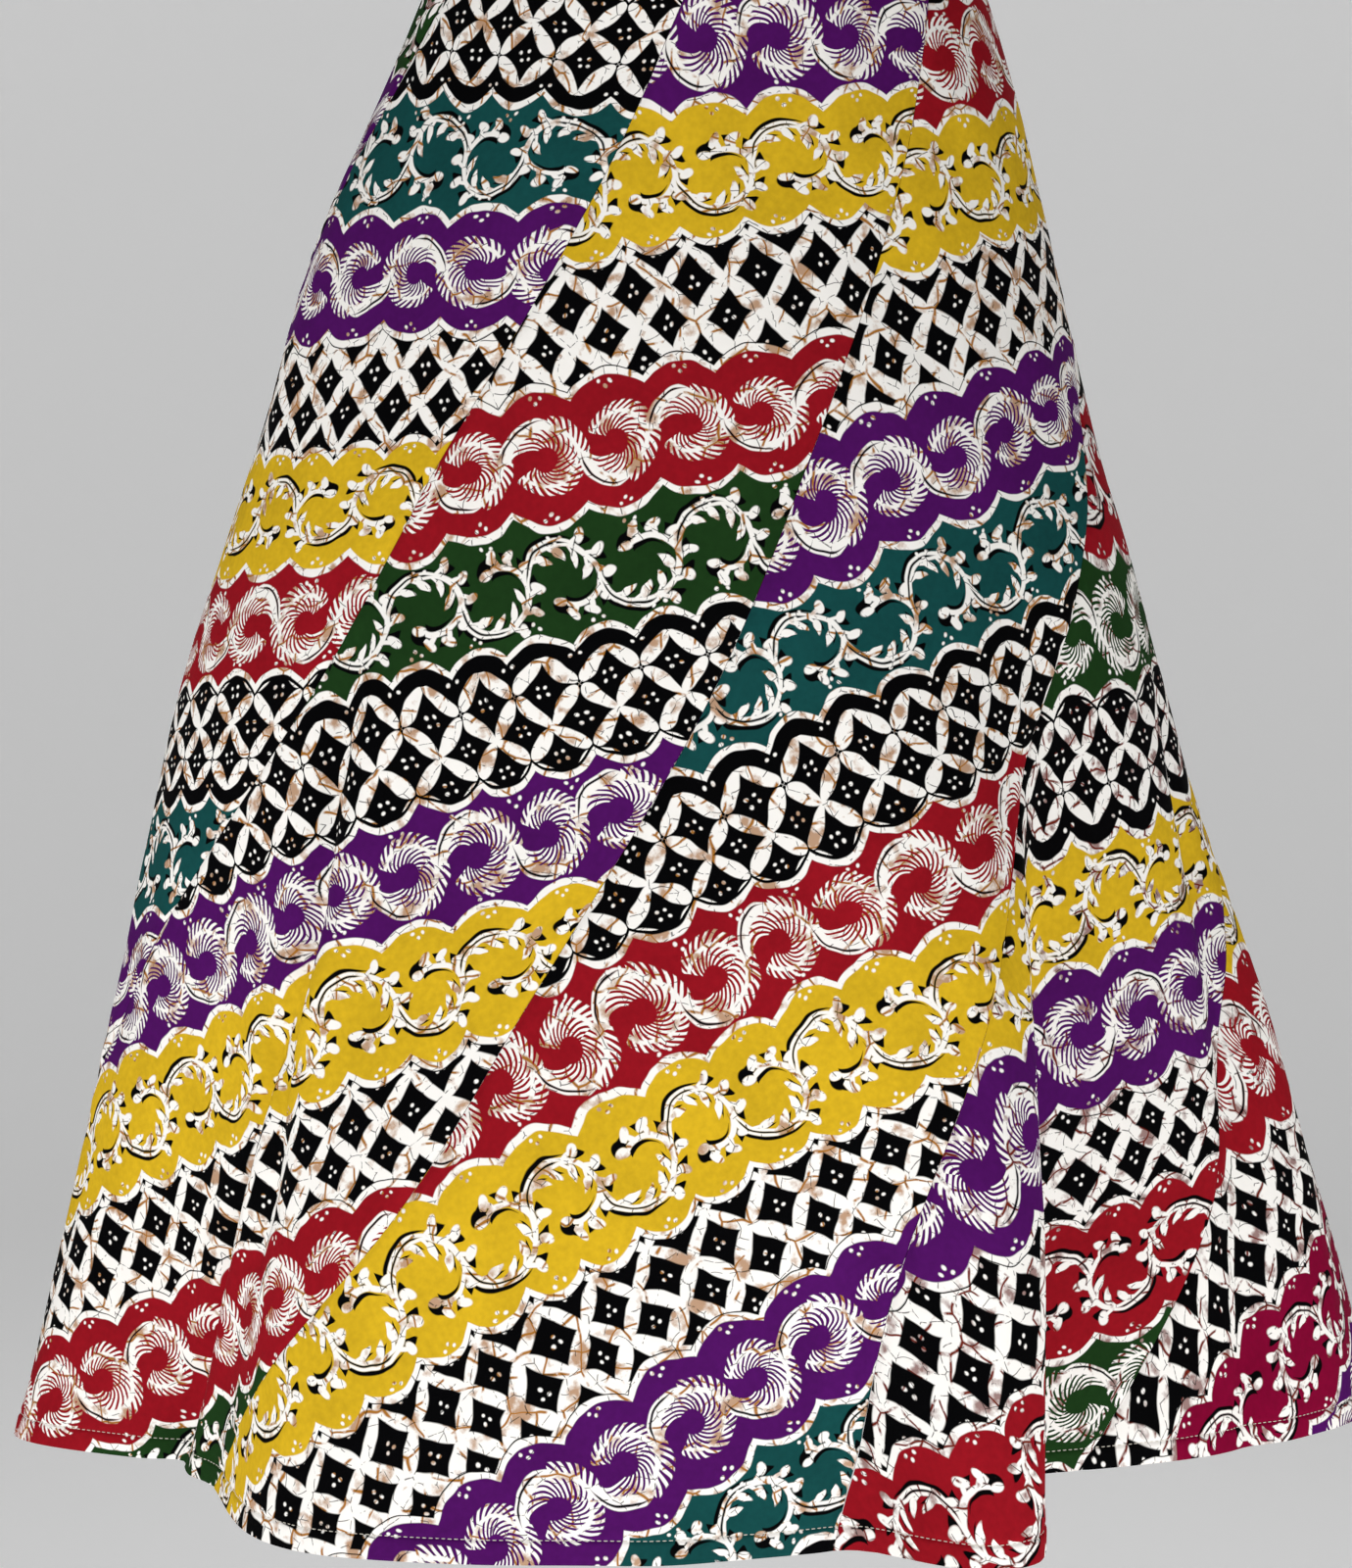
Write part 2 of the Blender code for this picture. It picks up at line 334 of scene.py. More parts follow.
def seam_depth(to_seam, height):
    """A rolled edge right at the seam, and small uneven puckers that fade away from it."""
    roll = -SEAM_ROLL * np.exp(-((to_seam / SEAM_ROLL_WIDTH) ** 2))
    phase = 2 * np.pi * PUCKERS_PER_METRE * height
    waves = np.sin(phase + 1.3 * np.sin(phase * 0.21)) * np.cos(phase * 0.13)
    return roll + PUCKER * waves * np.exp(-to_seam / PUCKER_REACH) * (1 - np.exp(-to_seam / PUCKER_FREE))


def hem_depth(azimuth, height):
    """The turned-up hem stands a little proud, dips along its stitches and ripples round the skirt."""
    up = height - HEM
    dip = -HEM_DIP * np.exp(-(((up - HEM_TURN) / HEM_DIP_WIDTH) ** 2))
    proud = HEM_PROUD * (1 - np.clip((up - HEM_TURN + 0.0008) / 0.0016, 0, 1))
    angle = np.radians(azimuth)
    ripple = np.sin(157 * angle + 2.0 * np.sin(9 * angle)) * (0.6 + 0.4 * np.sin(23 * angle))
    return dip + proud + HEM_PUCKER * ripple * np.exp(-((up - HEM_TURN) / HEM_PUCKER_REACH) ** 2)


print("gathers in the back:", GATHERS)

# %% [markdown]
# ## The cloth laid flat
# The drawing belongs to the cloth, so it has to follow the cloth round the body. Each gore is laid
# flat round its own middle line: walking down that line on the skirt gives a matching walk on flat
# cloth, and each ring becomes a straight row across it. The table gives how far the cloth's bands
# lean from the ring at each height, in degrees. Where the photograph shows a gore's bands, a
# least-squares fit to them gave the numbers, and the rest, such as gore 6's, are given. The
# result is a UV map in metres, with U along the bands and V across them.

# %% Lean of the bands in each gore
LEAN = table(
    "height gore_1 gore_2 gore_3 gore_4 gore_5 gore_6",
    (-0.020, -14.9, -6.7, 7.9, -41.8, -30.0, -22.0),
    (-0.200, -0.2, 9.9, 11.9, -24.2, -18.0, -12.0),
    (-0.400, 6.0, 12.9, 22.0, 4.2, -4.0, -1.0),
    (-0.600, 9.0, 22.4, 24.8, 13.6, 4.1, 8.0),
    (HEM, 16.0, 23.0, 34.8, 21.3, 37.3, 16.0),
)


def laid_flat(number, points):
    """Flat place of each point: the middle line's walk plus the place along the row, turned by the lean."""
    heights = points[:, 0, 2]
    lean = np.radians(np.interp(-heights, -LEAN["height"], LEAN[f"gore_{number}"]))
    steps = np.linalg.norm(np.diff(points, axis=1), axis=2)
    along = np.concatenate([np.zeros((len(points), 1)), np.cumsum(steps, axis=1)], axis=1)
    middle = points.shape[1] // 2
    across = along - along[:, middle, None]
    row_way = points[:, middle + 1] - points[:, middle - 1]
    row_way = (row_way[1:] + row_way[:-1]) / 2
    row_way /= np.linalg.norm(row_way, axis=1, keepdims=True)
    walk = np.diff(points[:, middle], axis=0)
    aside = (walk * row_way).sum(axis=1)
    down = np.sqrt(np.maximum((walk**2).sum(axis=1) - aside**2, 0))
    turn = (lean[1:] + lean[:-1]) / 2
    u = np.cumsum(aside * np.cos(turn) - down * np.sin(turn))
    v = np.cumsum(aside * np.sin(turn) + down * np.cos(turn))
    line = np.concatenate([[[0, 0]], np.stack([u, v], axis=-1)])
    way = np.stack([np.cos(lean), np.sin(lean)], axis=-1)
    return line[:, None] + across[..., None] * way[:, None]


def cut_size(flat):
    """(width, length) of the smallest rectangle of cloth that the piece can be cut from, at any turn."""
    outline = np.concatenate([flat[0], flat[-1], flat[:, 0], flat[:, -1]])
    turn = np.radians(np.arange(0, 180, 2))[:, None]
    wide = np.ptp(outline[:, 0] * np.cos(turn) + outline[:, 1] * np.sin(turn), axis=1)
    long = np.ptp(outline[:, 1] * np.cos(turn) - outline[:, 0] * np.sin(turn), axis=1)
    best = np.argmin(wide * long)
    return tuple(sorted((float(wide[best]), float(long[best]))))


def flat_area(flat):
    """Area of the flat piece: half the cross product of each small quad's diagonals."""
    one, two = flat[1:, 1:] - flat[:-1, :-1], flat[1:, :-1] - flat[:-1, 1:]
    return float(abs(one[..., 0] * two[..., 1] - one[..., 1] * two[..., 0]).sum() / 2)


print("bands lean in gore 3 from", LEAN["gore_3"][0], "to", LEAN["gore_3"][-1], "degrees")

# %% [markdown]
# ## A sheet of cloth as a mesh
# The quickest sheet is one layer of faces, but it has no edge and looks like paper. Solidify could
# thicken it. Here the inside is the same grid pushed in along the normals, and a strip of faces
# closes the edge, so that the hem can be thicker than the rest.

# %% Make a sheet


def grid_normals(points):
    """Unit normals of a grid whose rows run down and whose columns run round: down crossed with across."""
    normal = np.cross(np.gradient(points, axis=0), np.gradient(points, axis=1))
    return normal / np.linalg.norm(normal, axis=-1, keepdims=True)


def make_sheet(name, outside, thickness, flat, material):
    """A closed sheet of cloth with the flat map as its UV map."""
    rows, columns = outside.shape[:2]
    count = rows * columns
    inside = outside - grid_normals(outside) * np.asarray(thickness)[:, None, None]
    corner = np.arange(count).reshape(rows, columns)
    quads = np.stack([corner[:-1, :-1], corner[1:, :-1], corner[1:, 1:], corner[:-1, 1:]], axis=-1)
    quads = quads.reshape(-1, 4)
    edge = np.concatenate([corner[0, :-1], corner[:-1, -1], corner[-1, :0:-1], corner[:0:-1, 0]])
    after = np.roll(edge, -1)
    rim = np.stack([after, after + count, edge + count, edge], axis=-1)
    faces = np.concatenate([quads, quads[:, ::-1] + count, rim])
    mesh = bpy.data.meshes.new(name)
    mesh.from_pydata(np.concatenate([outside, inside]).reshape(-1, 3), [], faces)
    corners = np.empty(len(mesh.loops), np.int32)
    mesh.loops.foreach_get("vertex_index", corners)
    cloth_map = mesh.uv_layers.new(name="cloth")
    cloth_map.data.foreach_set("uv", flat.reshape(-1, 2)[corners % count].ravel())
    mesh.shade_smooth()
    mesh.set_sharp_from_angle(angle=np.radians(60))
    mesh.materials.append(material)
    piece = bpy.data.objects.new(name, mesh)
    bpy.context.scene.collection.objects.link(piece)
    return piece


print("a sheet's wall is a grid, its copy pushed in, and a strip between them")

# %% [markdown]
# ## Working out numbers inside a material
# A pattern in a material is a sum done at every point of the cloth, with one node for each step.
# Written node by node it would be hundreds of lines. Here a small class stands for the output of a
# node, so that plain sums in Python lay the nodes out.

# %% Numbers that change over the cloth


class Drawn:
    """The output of a maths node. Adding, multiplying and so on makes the next node."""

    def __init__(self, socket):
        self.socket = socket

    def __add__(self, other):
        return worked("ADD", self, other)

    def __sub__(self, other):
        return worked("SUBTRACT", self, other)

    def __mul__(self, other):
        return worked("MULTIPLY", self, other)

    def __truediv__(self, other):
        return worked("DIVIDE", self, other)

    def __rsub__(self, other):
        return worked("SUBTRACT", other, self)

    def __neg__(self):
        return worked("MULTIPLY", self, -1)

    __radd__ = __add__
    __rmul__ = __mul__


def worked(operation, *values, clamp=False):
    """One maths node, fed with numbers or with other nodes' outputs."""
    tree = next(value for value in values if isinstance(value, Drawn)).socket.id_data
    node = tree.nodes.new("ShaderNodeMath")
    node.operation = operation
    node.use_clamp = clamp
    for value, socket in zip(values, node.inputs):
        if isinstance(value, Drawn):
            tree.links.new(value.socket, socket)
        else:
            socket.default_value = value
    return Drawn(node.outputs[0])


def least(one, two):
    return worked("MINIMUM", one, two)


def most(one, two):
    return worked("MAXIMUM", one, two)


def over(value, limit):
    """1 where the value is over the limit and 0 elsewhere."""
    return worked("GREATER_THAN", value, limit)


def under(value, limit):
    return worked("LESS_THAN", value, limit)


def floor(value):
    return worked("FLOOR", value)


def absolute(value):
    return worked("ABSOLUTE", value)


def wrapped(value, span):
    """What is left over when the value is counted off in whole spans."""
    return worked("FLOORED_MODULO", value, span)


def ramp(value, low, high):
    """0 at low, 1 at high and a straight line between."""
    return worked("MULTIPLY_ADD", value, 1 / (high - low), -low / (high - low), clamp=True)


def mix(share, one, two):
    """One where the share is 0, two where it is 1."""
    return worked("MULTIPLY_ADD", share, two - one, one)


def reach(x, y):
    """The distance of (x, y) from the middle."""
    return worked("SQRT", x * x + y * y)


def turn_of(y, x):
    """The direction of (x, y) in degrees, from -180 to 180."""
    return worked("ARCTAN2", y, x) * float(np.degrees(1))


print("maths nodes can be written as sums")

# %% [markdown]
# ## The drawing of the batik
# The cloth is drawn with wax in bands about 64 mm deep. In order they are: white four-petal kawung
# flowers on black, a leafy vine, a running feathered scroll, a white lattice with black diamonds, a
# second vine and a second scroll. Scalloped white lines part them. Wax keeps the cloth white, and the
# dye fills the rest. Each motif is a formula for the distance to its edge, in millimetres, so the
# lines stay sharp at any size. Everything below works in millimetres of flat cloth.

# %% Bands and their scalloped lines
KINDS = 6
BAND = 64.5
UNIT = 39.5
HALF = UNIT / 2
KAWUNG_UNIT = 33.0
SCALLOP = 9.0
SCALLOP_BIAS = 0.35
LINE = 2.0
SOFT = 0.3
FAR = 20


def inside(distance):
    """1 within an edge and 0 outside it, blurred over a thread's width."""
    return ramp(distance, SOFT, -SOFT)


def is_kind(kind, *numbers):
    """1 in the bands, or on the lines, with these numbers."""
    found = [worked("COMPARE", kind, number, 0.1) for number in numbers]
    return sum(found[1:], found[0])


def bands(u, v):
    """(kind of band, place along a motif, its number, place across the band, place on the line, to the line).

    A line is a row of arches, one to a scallop, that point up on each even line and down on each odd one.
    """
    line = floor(v / BAND + 0.5)
    line_unit = mix(is_kind(wrapped(line, KINDS), 0, 1, 4), UNIT, KAWUNG_UNIT)
    along_line = wrapped(u / line_unit + 0.5, 1) - 0.5
    points = wrapped(line, 2) * 2 - 1
    arch = 1 - along_line * along_line * 4
    aside = v - line * BAND - points * (arch - SCALLOP_BIAS) * SCALLOP
    band = line - under(aside, 0)
    kind = wrapped(band, KINDS)
    unit = mix(is_kind(kind, 0, 3), UNIT, KAWUNG_UNIT)
    motif = floor(u / unit + 0.5)
    return kind, u - motif * unit, motif, v - band * BAND, along_line * line_unit, absolute(aside)


def spots(x, y, places, radius):
    """Distance to the nearest of a few round dots."""
    nearest = None
    for place in places:
        to_dot = reach(x - place[0], y - place[1]) - radius
        nearest = to_dot if nearest is None else least(nearest, to_dot)
    return nearest


print("a band is", BAND, "mm deep and a scallop", UNIT, "or", KAWUNG_UNIT, "mm long")

# %% [markdown]
# ### Kawung flowers and the diamond lattice
# Both are slanting lattices. A flower has a petal along each of the four lattice lines that leave
# its middle, drawn as a half ellipse on both sides of the line. The diamonds are squares with hollow
# sides, each with a few dots, and grow a little from one side of the band to the other.

# %% Kawung and diamonds
KAWUNG_TOP = 23.0
KAWUNG_STEP = 18.3
LATTICE_LINE = 24.8
PETAL_WIDTH = 0.178
PETAL_REACH = 0.94
DIAMOND_TOP = 4.5
DIAMOND_STEP = 18.0
DIAMOND = (11.4, 13.0)
HOLLOW_SIDES = 0.86
DIAMOND_LEAST, DIAMOND_GROWTH = 0.92, 0.26
DIAMOND_EDGE = 7
FOUR_DOTS = ((-2.6, -1.6), (2.4, -2.2), (-1.4, 2.6), (2.8, 2.2))
THREE_DOTS = ((-2.2, -1.4), (1.8, -2.2), (0.2, 2.2))
DOT = 1.0
BLACK_SCALLOP = (2.0, 5.6)


def lattice(x, across, top, step):
    """Places along the two slanting directions of a lattice, whole numbers at its crossings."""
    along = x / KAWUNG_UNIT
    down = (across - top) / (2 * step)
    return along + down, along - down


def cell_middle(a, b, step):
    """Place from the middle of the lattice's cell, in millimetres."""
    a, b = a - floor(a) - 0.5, b - floor(b) - 0.5
    return (a + b) * (KAWUNG_UNIT / 2), (a - b) * step


def petal(along, aside, flower):
    """Distance from a petal that is widest past its middle, counted from the flower it grows from."""
    t = flower * (along - 0.5) + 0.5
    s = t * (2 / PETAL_REACH) - 1
    return aside - worked("SQRT", 1 - s * s) * (s * 0.2 + 0.9) * PETAL_WIDTH


def kawung(x, across, to_line):
    """White of the flowers, kept off the heavy black scallop along the line, and of the dots among them."""
    a, b = lattice(x, across, KAWUNG_TOP, KAWUNG_STEP)
    near_a, near_b = floor(a + 0.5), floor(b + 0.5)
    flower = 1 - wrapped(near_a + near_b, 2) * 2
    one, two = absolute(a - near_a), absolute(b - near_b)
    petals = least(petal(one, two, flower), petal(two, one, flower)) * LATTICE_LINE
    dots = spots(*cell_middle(a, b, KAWUNG_STEP), FOUR_DOTS, DOT)
    black = mix(over(across, BAND / 2), *BLACK_SCALLOP)
    petals = inside(petals) * over(to_line - black, LINE) * under(across, KAWUNG_TOP + 2 * KAWUNG_STEP)
    return most(petals, inside(dots) * over(to_line, LINE + 2.0))


def diamonds(x, across):
    """White of the lattice round the diamonds, and of the dots in them."""
    a, b = lattice(x, across, DIAMOND_TOP, DIAMOND_STEP)
    aside, down = cell_middle(a, b, DIAMOND_STEP)
    size = across * (DIAMOND_GROWTH / BAND) + DIAMOND_LEAST
    wide, tall = absolute(aside) / DIAMOND[0], absolute(down) / DIAMOND[1]
    bulge = worked("POWER", wide, HOLLOW_SIDES) + worked("POWER", tall, HOLLOW_SIDES)
    return most(inside((size - bulge) * DIAMOND_EDGE), inside(spots(aside, down, THREE_DOTS, DOT)))


print("kawung petals are", round(LATTICE_LINE * PETAL_WIDTH * 2, 1), "mm wide")

# %% [markdown]
# ### The feathered scroll
# A ribbon winds over one disc of plain cloth and under the next. Round each disc it has a white
# quill, comb teeth that curl in to the disc, short barbs outside, and a thin dark line near its
# smooth edge. It is drawn in polar terms round each disc: the distance from the middle says which
# of these we are in, and the direction says which tooth.

# %% Feathered scroll
TOOTH_TURN = 17.5
BARB_TURN = 11.5
DISC = 6.8
QUILL = (16.2, 18.8)
BARBS_REACH = 24.2
THIN_LINE = 21.2


def feather(x, up):
    """(white, ink) distances of one curl: teeth and barbs slant with the distance from the disc."""
    r = reach(x, up)
    phi = turn_of(up, x)
    arc = over(phi, -15)
    taper = ramp(phi, -150, -70)
    quill_in = mix(arc, taper * 2.4 + 12.4, QUILL[0])
    quill_out = mix(arc, taper * 2.8 + 14.2, ramp(phi, 60, 95) * 4.4 + QUILL[1])
    barb_out = mix(arc, taper * 5.6 + 16.8, BARBS_REACH)
    quill = most(quill_in - r, r - quill_out)
    rooted = phi + (quill_in - r) * 5.0
    tooth = absolute(wrapped(rooted / TOOTH_TURN, 1) - 0.5) * 9.0 - r * 0.13 - 0.8
    teeth = most(most(DISC - r, r - quill_in - 0.5), tooth) + over(rooted, 178) * FAR
    barb = absolute(wrapped((phi - (r - 16) * 2.5) / BARB_TURN, 1) - 0.5) * 6.0 + (r - barb_out) * 0.12 - 1.2
    barbs = most(most(quill_out - 0.5 - r, r - barb_out), barb) + over(phi, 78) * FAR
    white = least(quill, least(teeth, barbs)) + under(phi, -146) * FAR
    thin = ramp(phi, 84, 105) * ramp(phi, 178, 160) * 0.65
    return white, absolute(r - THIN_LINE) - thin + under(phi, 84) * FAR


def feathers(x, motif, y):
    """The curl at this place and the one on the nearer side, turned over at every second one."""
    flip = 1 - wrapped(motif, 2) * 2
    side = over(x, 0) * 2 - 1
    white, ink = feather(-x, -(y * flip))
    white_2, ink_2 = feather(side * UNIT - x, y * flip)
    white, ink = inside(least(white, white_2)), inside(least(ink, ink_2))
    return white * (1 - ink), white * ink


print("a curl has", round(360 / TOOTH_TURN), "comb teeth to the full turn")

# %% [markdown]
# ### The vine
# The stem winds over and under in the same way. Each half wave starts as a double line with a dark
# shadow, and turns into a single leafy stem with club-shaped buds on both sides, each with a dark
# shadow behind it. There a short branch leaves it, curls in round a dark line, and ends in a bud over
# a dark eye.

# %% Vine
STEM = 1.5
BUD_TURN = (27.5, 36.0)
BUD_LEAN = (0.9, 1.15)
BUD_TIP = (5.9, 5.4)
BUD = 2.5
BRANCH_CURL = 0.10
BRANCH_END = 94


def stem(x, up):
    """(white, ink, core) distances of one half wave of the stem, its branch and their buds."""
    r = reach(x, up)
    phi = turn_of(up, x)
    turned = -phi * under(up, 0)
    aside = r - HALF + turned * BRANCH_CURL
    out = absolute(aside)
    double = ramp(phi, 62, 84) * ramp(phi, 180, 162)
    ended = over(turned, BRANCH_END) * FAR
    inner = under(aside, 0)
    lean, tip = mix(inner, *BUD_LEAN), mix(inner, *BUD_TIP)
    every = mix(inner, *BUD_TURN)
    pitch = r * every * float(np.radians(1))
    place = phi / every + out * lean / pitch + inner * 0.4
    cell = floor(place)
    along = (place - cell - 0.5) * pitch
    too_late, too_early = over(cell, mix(inner, 2.5, 4.5)), under(cell, mix(inner, -3.5, 0.5))
    bare = most(too_late, most(too_early, under(r, 6.0))) * FAR
    past = out - tip
    bud = reach(past * 0.68, along - lean * past * 0.9) - BUD
    stalk = most(absolute(along + 0.2) - 1.3, past)
    shade = most(reach((out - 3.6) / 1.5, along + mix(inner, 3.4, 3.8)) - 3.2, out - mix(inner, 7.2, 5.6))
    end_bud = reach((x + 3.8) / 1.5, up + 9.4) - 2.4
    eye = reach((x + 3.0) / 1.2, up + 11.6) - 4.6
    white = least(out - double * 0.7 - STEM + ended, least(least(bud, stalk) + bare, end_bud))
    shadow = absolute(aside - 2.9) - ramp(phi, 62, 100) * ramp(phi, 178, 140) * 1.5 + under(phi, 62) * FAR
    hollow = absolute(aside + 2.8) - ramp(turned, 15, 70) * 1.6 + under(turned, 15) * FAR + ended
    ink = least(least(shade + bare, least(eye, hollow)), shadow)
    return white, ink, out - double * 1.1 + 0.5


def vines(x, motif, y):
    """The half wave at this place and the one on the nearer side, turned over at every second one."""
    flip = 1 - wrapped(motif, 2) * 2
    side = over(x, 0) * 2 - 1
    one = stem(-x, -(y * flip))
    two = stem(side * UNIT - x, y * flip)
    white, ink, core = (inside(least(a, b)) for a, b in zip(one, two))
    return white * (1 - core), most(ink * (1 - white), core)


print("buds every", BUD_TURN, "degrees of the stem")

# %% [markdown]
# ### All the bands in one node group
# Six materials use the same drawing with their own dyes, so the drawing is a node group. It gives
# the white of the wax, the black ink and the number of the band.

# %% Drawing group
BORDER_DOTS = ((0, 1.5), (-3.1, -1.0), (2.6, -1.6))
BORDER_DOTS_IN = 6.0
DYED_EDGE = 0.7


def drawing(u, v):
    """(white, ink, kind) of the whole drawing."""
    kind, x, motif, across, along_line, to_line = bands(u, v)
    y = across - BAND / 2
    scroll, vine = is_kind(kind, 2, 5), is_kind(kind, 1, 4)
    feather_white, feather_ink = feathers(x, motif, y)
    vine_white, vine_ink = vines(x, motif, y)
    dots = inside(spots(along_line, to_line - BORDER_DOTS_IN, BORDER_DOTS, DOT))
    flowers = kawung(x, across, to_line) * is_kind(kind, 0)
    white = flowers + diamonds(x, across) * is_kind(kind, 3)
    white = white + most(feather_white, dots) * scroll + most(vine_white, dots) * vine
    clear = over(to_line, LINE + DYED_EDGE)
    white = most(white * clear, inside(to_line - LINE))
    ink = (feather_ink * scroll + vine_ink * vine) * clear
    return white, ink, kind


def drawing_group():
    group = bpy.data.node_groups.new("batik_drawing", "ShaderNodeTree")
    for name in ("U", "V"):
        group.interface.new_socket(name=name, in_out="INPUT", socket_type="NodeSocketFloat")
    for name in ("White", "Ink", "Kind"):
        group.interface.new_socket(name=name, in_out="OUTPUT", socket_type="NodeSocketFloat")
    given = group.nodes.new("NodeGroupInput")
    made = group.nodes.new("NodeGroupOutput")
    drawn = drawing(Drawn(given.outputs["U"]), Drawn(given.outputs["V"]))
    for name, value in zip(("White", "Ink", "Kind"), drawn):
        group.links.new(value.socket, made.inputs[name])
    return group


DRAWING = drawing_group()
print("the drawing takes", len(DRAWING.nodes), "nodes")

# %% [markdown]
# ## Dyes and cotton
# Each gore is cut from cloth in its own colours. The wax cracks in the dye bath, so fine dark and
# brown veins run over the white. The dye itself is a little uneven. Under it lies a plain weave, as
# a faint bump. The cotton is matt, so almost nothing shines on it.

# %% Dyes


def dye(red, green, blue):
    """A colour as seen on a screen, turned into the light it gives back."""
    seen = np.array([red, green, blue]) / 255
    return (*np.where(seen <= 0.04045, seen / 12.92, ((seen + 0.055) / 1.055) ** 2.4), 1.0)


BLACK = dye(4, 4, 5)
WAX_WHITE = dye(236, 233, 228)
TEAL = dye(19, 69, 68)
PURPLE = dye(74, 16, 90)
RED = dye(140, 18, 29)
YELLOW = dye(206, 168, 32)
GREEN = dye(26, 55, 23)
CRIMSON = dye(122, 6, 46)
BROWN = dye(156, 102, 38)
DARK_BROWN = dye(104, 34, 24)
INK = dye(16, 14, 14)
print("white of the wax", [round(float(c), 2) for c in WAX_WHITE[:3]])

# %% Batik cotton
MILLIMETRES = 1000
HAND_WANDER, SLOW_DRIFT = 3.4, 8.0
CRACKS_A_METRE, VEINS_A_METRE = 95.0, 60.0
THREADS_APART = 0.0006


def new_material(name):
    """A new material with its node tree and its shader."""
    material = bpy.data.materials.new(name)
    material.use_nodes = True
    return material, material.node_tree, material.node_tree.nodes["Principled BSDF"]


def texture(tree, kind, place, **settings):
    """A texture node fed with the place on the cloth."""
    node = tree.nodes.new(kind)
    for name, value in settings.items():
        if name in node.inputs:
            node.inputs[name].default_value = value
        else:
            setattr(node, name, value)
    tree.links.new(place, node.inputs["Vector"])
    return node


def noise(tree, place, scale, detail):
    """How high a cloudy noise stands, from 0 to 1, with this many clouds a metre."""
    node = texture(tree, "ShaderNodeTexNoise", place, noise_dimensions="2D", Scale=scale, Detail=detail)
    return Drawn(node.outputs[0])


def cell_edges(tree, place, scale):
    """The distance to the nearest edge of a cracked pattern, counted in its cells."""
    node = texture(
        tree, "ShaderNodeTexVoronoi", place, voronoi_dimensions="2D", feature="DISTANCE_TO_EDGE", Scale=scale
    )
    return Drawn(node.outputs[0])


def painted(tree, share, below, above):
    """A colour mixed over another by a share. Each may be a colour or a node's output."""
    node = tree.nodes.new("ShaderNodeMix")
    node.data_type = "RGBA"
    for value, socket in ((share, node.inputs[0]), (below, node.inputs[6]), (above, node.inputs[7])):
        if isinstance(value, Drawn):
            tree.links.new(value.socket, socket)
        else:
            socket.default_value = value
    return Drawn(node.outputs[2])


def ground_dye(tree, kind, dyes):
    """The dye of each band, picked by its number from a ramp of plain steps."""
    node = tree.nodes.new("ShaderNodeValToRGB")
    node.color_ramp.interpolation = "CONSTANT"
    stops = node.color_ramp.elements
    while len(stops) < KINDS:
        stops.new(1)
    for number, (stop, colour) in enumerate(zip(stops, dyes)):
        stop.position = number / KINDS
        stop.color = colour
    tree.links.new(((kind + 0.5) / KINDS).socket, node.inputs[0])
    return Drawn(node.outputs[0])


def bumped(tree, shader, height, strength, distance):
    """The shader's normal tilted as if the height stood out from the surface, as far as the distance."""
    bump = tree.nodes.new("ShaderNodeBump")
    bump.inputs["Strength"].default_value = strength
    bump.inputs["Distance"].default_value = distance
    tree.links.new(height.socket, bump.inputs["Height"])
    tree.links.new(bump.outputs[0], shader.inputs["Normal"])


